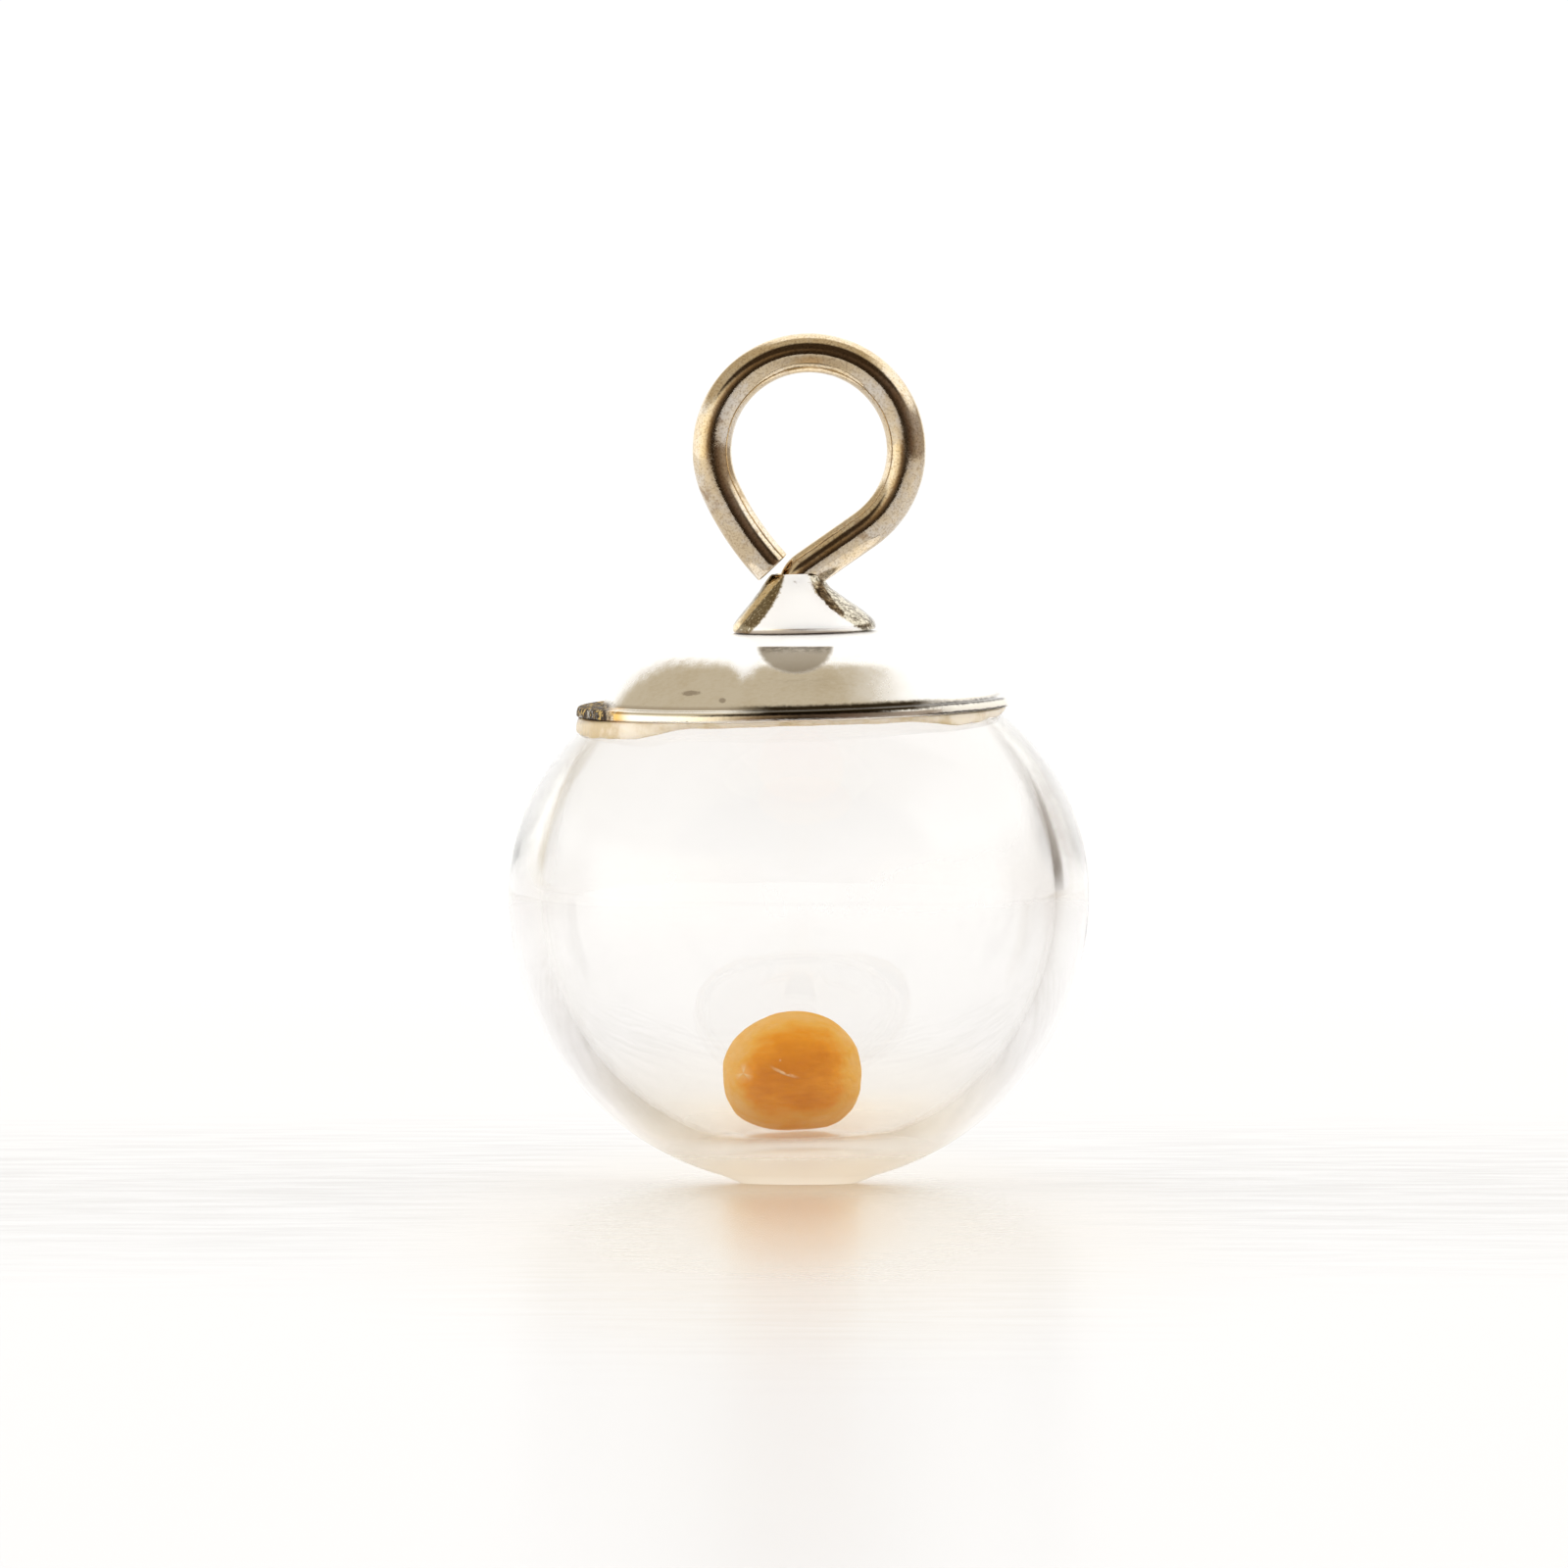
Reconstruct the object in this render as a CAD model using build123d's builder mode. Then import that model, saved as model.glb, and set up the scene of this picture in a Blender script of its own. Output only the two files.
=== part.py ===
from build123d import *
import os
from math import acos, cos, degrees, radians, sin, sqrt, tan

# A mustard seed charm: one loose seed in a blown glass globe, closed by a plated cap with a wire eye.
# Lengths are in millimetres, angles in degrees. The origin is the middle of the flat that it stands on.
# The charm leans a little on that flat, so everything is built on its own leaning axis, and heights are
# measured along that axis from the middle of the globe.

# Globe: round below, flattened above, thick at the base and thin at the mouth.
globe_radius = 6.0
mouth_radius = 4.08
mouth_level = 3.81
side_wall = 0.69
mouth_wall = 0.38
base_glass = 1.135
floor_bowl_radius = 10.0
floor_blend = 2.0
base_flattening = 0.054
foot_radius = 1.2
foot_height = 0.22
foot_slope = 22
lean_left = 1.5
lean_forward = 3.2

# Seed: an oval of revolution with blunt ends and a small scar at its right end.
seed_length = 2.86
seed_width = 2.46
seed_bluntness = 0.12
seed_edge_round = 0.16
scar_radius = 0.3
scar_depth = 0.05

# Cap: one stamped sheet, a low dome that sits a little off the middle of its flat flange.
sheet = 0.2
flange_overhang = 0.41
flange_ledge = 0.355
seat_width = 0.26
dome_height = 1.47
dome_offset = 0.16
crown_inset = 0.785
crown_rise = 0.35
crown_round = 1.6
crown_wall = 0.14

# Collar: a small flared cone round the foot of the eye.
collar_height = 1.12
collar_radius = 1.48
hub_wall = 0.125
hub_round = 0.1
flare_skew = 0.13

# Eye: one round wire, with a peg that is flattened into a head inside the cap.
wire_diameter = 0.81
eye_bore = 3.2
eye_rise = 2.54
eye_offset = 0.325
peg_offset = 0.13
leg_slope = 33.5
neck_bend = 0.5
tail_start_angle = 203.5
tail_radius = 6.0
tail_rise = 0.134
head_radius = 0.8
head_thickness = 0.3

# Glue that was pressed out under the flange. Its top edge leaves a share of the flange's overhang free, more
# where the glue is thin, and its side bulges by a share of its depth.
glue_drop = 0.375
thin_glue_share = 0.4
full_glue_share = 0.05
glue_bulge = 0.1
glue_flats = 30

# Clearances between pieces.
seat_gap = 0.03
wire_gap = 0.02
seed_gap = 0.03
glue_gap = 0.03

# Levels and radii that follow from the sizes above.
globe_centre = globe_radius - base_flattening
mouth_bore = mouth_radius - mouth_wall
hollow_radius = globe_radius - side_wall
floor_level = base_glass - globe_radius
flange_level = mouth_level + seat_gap
cap_radius = mouth_radius + flange_overhang
dome_level = flange_level + sheet
crown_level = dome_level + dome_height
collar_level = crown_level + seat_gap
wire_radius = wire_diameter / 2
eye_radius = (eye_bore + wire_diameter) / 2
eye_centre = (peg_offset + eye_offset, collar_level + collar_height + eye_rise)

# The charm's own frame, and the same frame turned so that a half section is drawn in it.
charm = Plane(origin=(0, 0, globe_centre)).rotated((lean_forward, -lean_left, 0))
charm_axis = Axis(charm.origin, charm.z_dir)
section = Plane(origin=charm.origin, x_dir=charm.x_dir, z_dir=-charm.y_dir)

# Glass globe: one wall turned round the axis, flattened underneath, with a low foot pressed out of the base.
bowl_centre = floor_level + floor_bowl_radius
bowl_edge_level = (hollow_radius**2 - floor_bowl_radius**2 + bowl_centre**2) / (2 * bowl_centre)
bowl_edge = (sqrt(hollow_radius**2 - bowl_edge_level**2), bowl_edge_level)

with BuildPart() as glass_globe:
    with BuildSketch(section):
        with BuildLine() as wall:
            CenterArc((0, 0), globe_radius, -90, 90)
            TangentArc((globe_radius, 0), (mouth_radius, mouth_level), tangent=(0, 1))
            Line((mouth_radius, mouth_level), (mouth_bore, mouth_level))
            TangentArc((hollow_radius, 0), (mouth_bore, mouth_level), tangent=(0, 1))
            RadiusArc((hollow_radius, 0), bowl_edge, hollow_radius)
            RadiusArc(bowl_edge, (0, floor_level), floor_bowl_radius)
            fillet(wall.vertices().sort_by_distance((*bowl_edge, 0))[0], floor_blend)
            Line((0, floor_level), (0, -globe_radius))
        make_face()
    revolve(axis=charm_axis)
    split(bisect_by=Plane.XY, keep=Keep.TOP)
    Cone(
        foot_radius,
        foot_radius + foot_height / tan(radians(foot_slope)),
        foot_height,
        align=(Align.CENTER, Align.CENTER, Align.MIN),
    )

# Mustard seed: it lies on the lowest point of the floor, long side across.
floor_point = charm.from_local_coords((0, 0, bowl_centre)) - Vector(0, 0, floor_bowl_radius)
seed_centre = floor_point + Vector(0, 0, seed_gap + seed_width / 2)
seed_section = Plane(origin=seed_centre, x_dir=(1, 0, 0), z_dir=(0, -1, 0))
seed_end = seed_centre + Vector(seed_length / 2, 0, 0)

with BuildPart() as mustard_seed:
    with BuildSketch(seed_section):
        Ellipse(seed_length / 2 + seed_bluntness, seed_width / 2)
        Rectangle(seed_length, seed_width / 2, align=(Align.CENTER, Align.MIN), mode=Mode.INTERSECT)
    revolve(axis=Axis(seed_centre, (1, 0, 0)))
    fillet(mustard_seed.edges().filter_by(GeomType.CIRCLE), seed_edge_round)
    scar_ball = (scar_radius**2 + scar_depth**2) / (2 * scar_depth)
    with Locations(seed_end + Vector(scar_ball - scar_depth, 0, 0)):
        Sphere(scar_ball, mode=Mode.SUBTRACT)

# Cap: a flat flange, the dome, its hollow, and the hole for the peg.
dome_radius = cap_radius - flange_ledge
seat_radius = mouth_radius - seat_width
crown_radius = dome_radius - crown_inset
crown_edge = crown_level - crown_rise
dome_centre = charm.from_local_coords((dome_offset, 0, 0))
dome_axis = Axis(dome_centre, charm.z_dir)
dome_section = Plane(origin=dome_centre, x_dir=charm.x_dir, z_dir=-charm.y_dir)


def dome_outline(base_radius, base_level, crown_radius, edge_level, top_level):
    """Half section of a dome with a flattened crown, from base_level up."""
    with BuildLine() as outline:
        Polyline((0, base_level), (base_radius, base_level), (base_radius, dome_level), (crown_radius, edge_level))
        ThreePointArc(
            (crown_radius, edge_level),
            (crown_radius / 2, top_level - (top_level - edge_level) / 4),
            (0, top_level),
        )
        corner = outline.vertices().sort_by_distance((crown_radius, edge_level, 0))[0]
        fillet(corner, crown_round)
        Line((0, top_level), (0, base_level))
    return outline.edges()


with BuildPart() as cap:
    with BuildSketch(charm.offset(flange_level)):
        Circle(cap_radius)
    extrude(amount=sheet)
    with BuildSketch(dome_section):
        make_face(dome_outline(dome_radius, flange_level + sheet / 2, crown_radius, crown_edge, crown_level))
    revolve(axis=dome_axis)
    with BuildSketch(dome_section):
        make_face(
            dome_outline(
                seat_radius, flange_level - sheet, crown_radius - crown_wall, crown_edge - sheet, crown_level - sheet
            )
        )
    revolve(axis=dome_axis, mode=Mode.SUBTRACT)
    with BuildSketch(charm.offset(crown_level - 2 * sheet)):
        with Locations((peg_offset, 0)):
            Circle(wire_radius + wire_gap)
    extrude(amount=3 * sheet, mode=Mode.SUBTRACT)

# Eye: peg, sloping leg, ring and free tail are one wire.
head_level = crown_level - sheet - 2 * seat_gap - head_thickness
leg_foot = (
    eye_centre[0] + eye_radius * sin(radians(leg_slope)),
    eye_centre[1] - eye_radius * cos(radians(leg_slope)),
)
leg_run = (leg_foot[0] - peg_offset) / cos(radians(leg_slope))
neck = (peg_offset, leg_foot[1] - leg_run * sin(radians(leg_slope)))
ring_turn = tail_start_angle + 90 - leg_slope
tail_slope = tail_start_angle - 180
tail_drop = (tail_radius - eye_radius) * sin(radians(tail_slope)) + eye_rise - tail_rise
tail_turn = 90 - tail_slope - degrees(acos(tail_drop / tail_radius))


def bent_wire(radius):
    """The whole wire, as a tube of the given radius."""
    with BuildPart() as tube:
        with BuildLine(section) as route:
            FilletPolyline((peg_offset, head_level + head_thickness / 2), neck, leg_foot, radius=neck_bend)
            ring = CenterArc(eye_centre, eye_radius, leg_slope - 90, ring_turn)
            JernArc(ring @ 1, ring % 1, tail_radius, tail_turn)
        with BuildSketch(Plane(origin=route.line @ 0, z_dir=route.line % 0)):
            Circle(radius)
        sweep(path=route.line)
    return tube.part


with BuildPart() as eye_loop:
    add(bent_wire(wire_radius))
    with BuildSketch(charm.offset(head_level)):
        with Locations((peg_offset, 0)):
            Circle(head_radius)
    extrude(amount=head_thickness)

# Collar: circles from the foot up, each with its height, its radius and how far the flare is skewed there,
# as shares of the collar's height, of its flare beyond the hub, and of the skew. The wire's room is cut out.
hub_radius = wire_radius + wire_gap + hub_wall
collar_rings = [
    # height, flare, skew
    (0.00, 0.93, 1.0),
    (0.14, 1.00, 1.0),
    (0.38, 0.63, 0.6),
    (0.62, 0.28, 0.2),
    (0.80, 0.07, 0.0),
    (1.00, 0.00, 0.0),
]

with BuildPart() as collar:
    for height, flare, skew in collar_rings:
        with BuildSketch(charm.offset(collar_level + height * collar_height)):
            with Locations((peg_offset + skew * flare_skew, 0)):
                Circle(hub_radius + flare * (collar_radius - hub_radius))
    loft()
    fillet(collar.edges().group_by(Axis.Z)[-1], hub_round)
    add(bent_wire(wire_radius + wire_gap), mode=Mode.SUBTRACT)

# Glue bead: short straight lengths round the mouth. Each row has a bearing from the front towards the left and
# the depth of the bead there, as a share of the largest drop. Between rows the depth eases over.
glue_rows = [
    # bearing, depth
    (-180, 0.34),
    (-150, 0.40),
    (-120, 0.32),
    (-95, 0.34),
    (-72, 0.50),
    (-50, 0.68),
    (-34, 0.36),
    (0, 0.32),
    (28, 0.38),
    (48, 0.92),
    (64, 1.00),
    (84, 0.90),
    (106, 0.60),
    (130, 0.36),
    (155, 0.42),
    (180, 0.34),
]
glue_top = flange_level - glue_gap


def glue_share(bearing):
    """Depth share at a bearing, eased between the two rows round it."""
    after = next(row for row in glue_rows[1:] if bearing <= row[0])
    before = glue_rows[glue_rows.index(after) - 1]
    along = (bearing - before[0]) / (after[0] - before[0])
    return before[1] + (after[1] - before[1]) * (1 - cos(radians(180 * along))) / 2


def glass_radius(level):
    """Radius at which the glue's flats clear the upper half of the globe at a level."""
    across = (globe_radius**2 - mouth_radius**2 - mouth_level**2) / (2 * (globe_radius - mouth_radius))
    radius = across + sqrt((globe_radius - across) ** 2 - level**2) + glue_gap
    return radius / cos(radians(90 / glue_flats))


def glue_outline(share):
    """Half section of the bead: down the glass, then up its bulging outer side to the flange."""
    bottom = flange_level - share * glue_drop
    free = thin_glue_share + (full_glue_share - thin_glue_share) * share
    lip = cap_radius - free * flange_overhang
    bulge = (max(lip, glass_radius(bottom)) + glue_bulge * share * glue_drop, (glue_top + bottom) / 2)
    return [(glass_radius(glue_top), glue_top), (glass_radius(bottom), bottom), bulge, (lip, glue_top)]


def glue_half(start):
    """Half of the bead from a bearing on, as a solid of straight lengths."""
    with BuildPart() as half:
        for bearing in [start + 180 * flat / glue_flats for flat in range(glue_flats + 1)]:
            outward = -charm.x_dir * sin(radians(bearing)) - charm.y_dir * cos(radians(bearing))
            with BuildSketch(Plane(origin=charm.origin, x_dir=outward, z_dir=outward.cross(charm.z_dir))):
                with BuildLine():
                    Polyline(*glue_outline(glue_share(bearing)), close=True)
                make_face()
        loft(ruled=True)
    return half.part


with BuildPart() as glue_bead:
    add(glue_half(-180))
    add(glue_half(0))

os.makedirs("parts", exist_ok=True)
glass_globe.part.label = "glass_globe"
mustard_seed.part.label = "mustard_seed"
cap.part.label = "cap"
collar.part.label = "collar"
eye_loop.part.label = "eye_loop"
glue_bead.part.label = "glue_bead"
export_step(glass_globe.part, "parts/glass_globe.step")
export_step(mustard_seed.part, "parts/mustard_seed.step")
export_step(cap.part, "parts/cap.step")
export_step(collar.part, "parts/collar.step")
export_step(eye_loop.part, "parts/eye_loop.step")
export_step(glue_bead.part, "parts/glue_bead.step")
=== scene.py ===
from math import asin, atan2, cos, degrees, pi, radians, sin, sqrt

import bmesh
import bpy
from mathutils import Matrix, Vector, noise


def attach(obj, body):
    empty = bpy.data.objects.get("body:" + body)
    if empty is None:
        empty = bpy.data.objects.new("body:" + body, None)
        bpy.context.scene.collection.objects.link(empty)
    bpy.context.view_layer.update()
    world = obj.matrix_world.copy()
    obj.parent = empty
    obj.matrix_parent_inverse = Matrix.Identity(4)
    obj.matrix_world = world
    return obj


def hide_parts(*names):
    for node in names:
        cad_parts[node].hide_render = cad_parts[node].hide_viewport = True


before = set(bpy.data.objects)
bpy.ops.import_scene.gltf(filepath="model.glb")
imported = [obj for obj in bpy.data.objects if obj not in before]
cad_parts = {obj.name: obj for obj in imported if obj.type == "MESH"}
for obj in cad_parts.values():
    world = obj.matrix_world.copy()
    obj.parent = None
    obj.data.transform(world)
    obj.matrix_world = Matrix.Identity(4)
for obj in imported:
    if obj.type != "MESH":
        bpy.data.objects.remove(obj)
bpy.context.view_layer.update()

# Glass globe: one gather of clear glass, blown to 12 mm, thick at the bottom and thin at the ground mouth.
# The base was pressed flat while soft, so it stands, leaning a little. Lengths are millimetres on the charm's
# own axis, with levels counted from the middle of the globe, and the whole charm leans as one.
globe_radius = 6.0
mouth_radius = 4.08
mouth_level = 3.81
side_wall = 0.69
mouth_wall = 0.38
floor_level = -4.865
floor_bowl_radius = 16.0
floor_blend = 2.0
globe_centre = 5.946
lean_forward = 3.2
lean_left = 1.5
foot_radius = 1.2
foot_top = 0.165
foot_round = 0.07
lip_round = 0.05
round_steps = 192
metres = Matrix.Scale(0.001, 4)
lean = (
    Matrix.Translation((0, 0, globe_centre))
    @ Matrix.Rotation(radians(lean_forward), 4, "X")
    @ Matrix.Rotation(radians(-lean_left), 4, "Y")
)


class Signal:
    """A node's output. Sums and products of signals add Math nodes, so a mask is written as a formula."""

    def __init__(self, tree, socket):
        self.tree = tree
        self.socket = socket

    def math(self, operation, *others, swapped=False):
        terms = [self, *others]
        if swapped:
            terms.reverse()
        return add_node(self.tree, "ShaderNodeMath", {"operation": operation}, dict(enumerate(terms)))

    def __add__(self, other):
        return self.math("ADD", other)

    def __radd__(self, other):
        return self.math("ADD", other)

    def __sub__(self, other):
        return self.math("SUBTRACT", other)

    def __rsub__(self, other):
        return self.math("SUBTRACT", other, swapped=True)

    def __mul__(self, other):
        return self.math("MULTIPLY", other)

    def __rmul__(self, other):
        return self.math("MULTIPLY", other)

    def __truediv__(self, other):
        return self.math("DIVIDE", other)

    def __pow__(self, other):
        return self.math("POWER", other)

    def over(self, low, high):
        """0 below low, 1 above high, and eased between them."""
        limits = {"Value": self, "From Min": low, "From Max": high}
        return add_node(self.tree, "ShaderNodeMapRange", {"interpolation_type": "SMOOTHSTEP"}, limits)

    def near(self, middle, reach):
        """1 at the middle, easing to 0 at the reach on both sides."""
        return 1 - (self - middle).math("ABSOLUTE").over(0, reach)


def add_node(tree, kind, settings, inputs, output=0):
    """Adds a node: its settings first, a ramp's stops among them, then its sockets' values or links."""
    node = tree.nodes.new(kind)
    for name, value in settings.items():
        if name == "stops":
            ramp = node.color_ramp
            while len(ramp.elements) < len(value):
                ramp.elements.new(0.5)
            for element, (place, colour) in zip(ramp.elements, value):
                element.position = place
                element.color = (*colour, 1)
        else:
            setattr(node, name, value)
    for name, value in inputs.items():
        socket = node.inputs[name]
        if isinstance(value, Signal):
            tree.links.new(value.socket, socket)
        elif isinstance(value, tuple) and len(value) == 3 and socket.type == "RGBA":
            socket.default_value = (*value, 1)
        else:
            socket.default_value = value
    if node.outputs:
        return Signal(tree, node.outputs[output])


def blend(low, high, share):
    """A colour between two, by a share from 0 to 1. A Mix node's two colours are its sockets 6 and 7."""
    tree = next(part.tree for part in (share, low, high) if isinstance(part, Signal))
    return add_node(tree, "ShaderNodeMix", {"data_type": "RGBA"}, {0: share, 6: low, 7: high}, output=2)


def three_parts(vector):
    """The three numbers of a vector."""
    parts = add_node(vector.tree, "ShaderNodeSeparateXYZ", {}, {0: vector})
    return [Signal(vector.tree, socket) for socket in parts.socket.node.outputs]


def new_finish(name):
    """An empty material, and the point on the piece in millimetres as a vector and as its three numbers."""
    finish = bpy.data.materials.new(name)
    finish.use_nodes = True
    tree = finish.node_tree
    tree.nodes.clear()
    place = add_node(tree, "ShaderNodeTexCoord", {}, {}, output="Object")
    place = add_node(tree, "ShaderNodeVectorMath", {"operation": "SCALE"}, {0: place, "Scale": 1000.0})
    return finish, tree, place, *three_parts(place)


def noise_at(place, scale, detail=2.0, roughness=0.5, stretch=(1, 1, 1), shift=(0, 0, 0), distortion=0.0):
    """Cloudy noise from 0 to 1, about 0.5, with its grain pulled out along an axis where stretch is small."""
    place = add_node(place.tree, "ShaderNodeMapping", {}, {0: place, "Scale": stretch, "Location": shift})
    inputs = {"Vector": place, "Scale": scale, "Detail": detail, "Roughness": roughness}
    inputs["Distortion"] = distortion
    return add_node(place.tree, "ShaderNodeTexNoise", {}, inputs)


def specks_at(place, scale, size, share, shift=(0, 0, 0)):
    """Scattered round specks: 1 inside a speck. Only a share of the cells has one."""
    place = add_node(place.tree, "ShaderNodeMapping", {}, {0: place, "Location": shift})
    cells = add_node(place.tree, "ShaderNodeTexVoronoi", {}, {"Vector": place, "Scale": scale})
    tint = Signal(place.tree, cells.socket.node.outputs["Color"])
    chance = add_node(place.tree, "ShaderNodeSeparateColor", {}, {0: tint})
    return (1 - cells.over(size * 0.6, size)) * chance.math("LESS_THAN", share)


def bump(height, depth, strength=1.0, normal=None):
    """A bump from a height signal, whose step of 1 is the depth in millimetres."""
    inputs = {"Height": height, "Distance": depth * 0.001, "Strength": strength}
    if normal:
        inputs["Normal"] = normal
    return add_node(height.tree, "ShaderNodeBump", {}, inputs)


def close_finish(tree, inputs):
    """Adds the shader and joins it to the output."""
    shader = add_node(tree, "ShaderNodeBsdfPrincipled", {}, inputs)
    add_node(tree, "ShaderNodeOutputMaterial", {}, {0: shader})


def edges_of(parts):
    """The edges among the parts of a mesh."""
    return [part for part in parts if isinstance(part, bmesh.types.BMEdge)]


def bend(mesh, end, across, level, turn, steps):
    """Carries the end of a profile round an arc whose middle is at (across, level). Returns the new end."""
    made = bmesh.ops.spin(
        mesh, geom=[end], cent=(across, 0, level), axis=(0, -1, 0), angle=radians(turn), steps=steps
    )
    return made["geom_last"][0]


def reach(mesh, end, across, level):
    """Carries the end of a profile straight to (across, level). Returns the new end."""
    new_end = bmesh.ops.extrude_vert_indiv(mesh, verts=[end])["verts"][0]
    new_end.co = (across, 0, level)
    return new_end


def turn_round(mesh, steps):
    """Turns a profile into a closed round shell."""
    bmesh.ops.spin(
        mesh,
        geom=mesh.verts[:] + mesh.edges[:],
        cent=(0, 0, 0),
        axis=(0, 0, 1),
        angle=2 * pi,
        steps=steps,
        use_merge=True,
    )
    bmesh.ops.remove_doubles(mesh, verts=mesh.verts[:], dist=0.0005)
    bmesh.ops.recalc_face_normals(mesh, faces=mesh.faces[:])


def grow_ring(mesh, ring):
    """Extrudes a ring of edges. Returns the new ring and its vertices, which still lie on the old ones."""
    grown = bmesh.ops.extrude_edge_only(mesh, edges=ring)["geom"]
    verts = [part for part in grown if isinstance(part, bmesh.types.BMVert)]
    return [edge for edge in edges_of(grown) if all(vert in verts for vert in edge.verts)], verts


def round_edges(mesh, edges, size, segments=3):
    """Rounds edges over."""
    bmesh.ops.bevel(
        mesh,
        geom=edges,
        offset=size,
        offset_type="OFFSET",
        segments=segments,
        profile=0.5,
        affect="EDGES",
        clamp_overlap=True,
        material=-1,
    )


def hoop(mesh, radius, level):
    """The edges of the round hoop that has a radius and a level."""
    on_hoop = {
        vert
        for vert in mesh.verts
        if abs(vert.co.xy.length - radius) < 0.001 and abs(vert.co.z - level) < 0.001
    }
    return [edge for edge in mesh.edges if all(vert in on_hoop for vert in edge.verts)]


def new_object(mesh, name, finish):
    """Turns a mesh into an object of the scene, with a material."""
    data = bpy.data.meshes.new(name)
    mesh.to_mesh(data)
    mesh.free()
    data.materials.append(finish)
    made = bpy.data.objects.new(name, data)
    bpy.context.scene.collection.objects.link(made)
    return made


def finish_piece(mesh, name, finish, body, node, place=lean, crease=35):
    """Puts a mesh in its place in metres, as a piece that rides on a body and stands for a node."""
    mesh.transform(metres @ place)
    piece = new_object(mesh, name, finish)
    piece.data.shade_smooth()
    piece.data.set_sharp_from_angle(angle=radians(crease))
    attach(piece, body)
    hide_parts(node)


hollow_radius = globe_radius - side_wall
mouth_bore = mouth_radius - mouth_wall
shoulder_middle = (globe_radius**2 - mouth_radius**2 - mouth_level**2) / (2 * (globe_radius - mouth_radius))
inner_middle = (hollow_radius**2 - mouth_bore**2 - mouth_level**2) / (2 * (hollow_radius - mouth_bore))
bowl_middle = floor_level + floor_bowl_radius
to_blend = hollow_radius - floor_blend
bowl_to_blend = floor_bowl_radius - floor_blend
blend_level = (to_blend**2 - bowl_to_blend**2 + bowl_middle**2) / (2 * bowl_middle)
blend_across = sqrt(to_blend**2 - blend_level**2)
side_end = degrees(atan2(blend_level, blend_across))
bowl_end = degrees(atan2(blend_level - bowl_middle, blend_across))

globe = bmesh.new()
end = globe.verts.new((0, 0, -globe_radius))
end = bend(globe, end, 0, 0, 90, steps=72)
shoulder_turn = degrees(atan2(mouth_level, mouth_radius - shoulder_middle))
end = bend(globe, end, shoulder_middle, 0, shoulder_turn, steps=40)
end = reach(globe, end, mouth_bore, mouth_level)
inner_turn = degrees(atan2(mouth_level, mouth_bore - inner_middle))
end = bend(globe, end, inner_middle, 0, -inner_turn, steps=36)
end = bend(globe, end, 0, 0, side_end, steps=40)
end = bend(globe, end, blend_across, blend_level, bowl_end - side_end, steps=10)
end = bend(globe, end, 0, bowl_middle, -90 - bowl_end, steps=14)
turn_round(globe, round_steps)
round_edges(globe, hoop(globe, mouth_radius, mouth_level), lip_round)
round_edges(globe, hoop(globe, mouth_bore, mouth_level), lip_round)
globe.transform(lean)
cut = bmesh.ops.bisect_plane(
    globe,
    geom=globe.verts[:] + globe.edges[:] + globe.faces[:],
    plane_co=(0, 0, foot_top),
    plane_no=(0, 0, 1),
    clear_inner=True,
)
foot_edges, foot_verts = grow_ring(globe, edges_of(cut["geom_cut"]))
for vert in foot_verts:
    vert.co = (*(vert.co.xy.normalized() * foot_radius), 0)
bmesh.ops.edgeloop_fill(globe, edges=foot_edges)
bmesh.ops.recalc_face_normals(globe, faces=globe.faces[:])
round_edges(globe, foot_edges, foot_round)

clear_glass, tree, place, x, y, z = new_finish("clear_glass")
drawn_glass = noise_at(place, 0.28, 2.0, 0.5, stretch=(1, 1, 0.45), distortion=0.6)
wisp = noise_at(place, 0.9, 2.0, 0.5, stretch=(1, 1, 0.35), shift=(3, 1, 0), distortion=1.5)
smudge = wisp.over(0.5, 0.75) * x.near(4.6, 1.6) * z.near(5.2, 1.9)
dust = specks_at(place, scale=1.15, size=0.035, share=0.10)
glass_tint = blend((0.995, 0.99, 0.985), (0.93, 0.925, 0.92), smudge)
# The globe's left and right sides around mid height are tinted grey, a painted shade where the wall is seen
# edge-on.
painted_edge_shade = x.math("ABSOLUTE").over(4.4, 5.3) * z.near(6.1, 1.5)
glass_tint = blend(glass_tint, (0.89, 0.875, 0.865), painted_edge_shade)
base_glow = 1 - z.over(0.1, 2.0)
glass_tint = blend(glass_tint, (0.92, 0.81, 0.63), base_glow**2)
glass_tint = blend(glass_tint, (0.6, 0.55, 0.5), dust)
ground_base = 1 - z.over(0.3, 1.5)
# The thin wall of the shoulder would trap the light where it is seen edge-on, so it is part clear there.
thin_side = y.near(-0.5, 2.2) * z.over(6.2, 7.4)
close_finish(
    tree,
    {
        "Base Color": glass_tint,
        "Roughness": ground_base * 0.32 + z.over(6.4, 7.4) * 0.02,
        "IOR": 1.47,
        "Transmission Weight": 1.0,
        "Alpha": 1 - thin_side * 0.6,
        "Normal": bump(drawn_glass, 0.03, 0.6, bump(wisp, 0.002, 0.5)),
    },
)
upright = Matrix.Identity(4)
finish_piece(globe, "globe", clear_glass, "charm", "glass_globe", place=upright, crease=30)

# Mustard seed: a dried white mustard seed, an oval with blunt ends and the small scar of its stalk at the
# right. Its dull coat dried in fine wrinkles that run from end to end, and is painted pale towards its
# outline as a rim light.
seed_length = 2.86
seed_width = 2.46
seed_centre = (-0.134, -0.2865, 2.331)
lower_fullness = 0.65
top_shift = 0.08
scar_level = 0.24
scar_radius = 0.24
scar_depth = 0.06
wrinkle_depth = 0.005
lump_depth = 0.008


def ramp(value, stops):
    """A colour from a row of stops, by a value from 0 to 1."""
    return add_node(value.tree, "ShaderNodeValToRGB", {"stops": stops}, {0: value})


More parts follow.
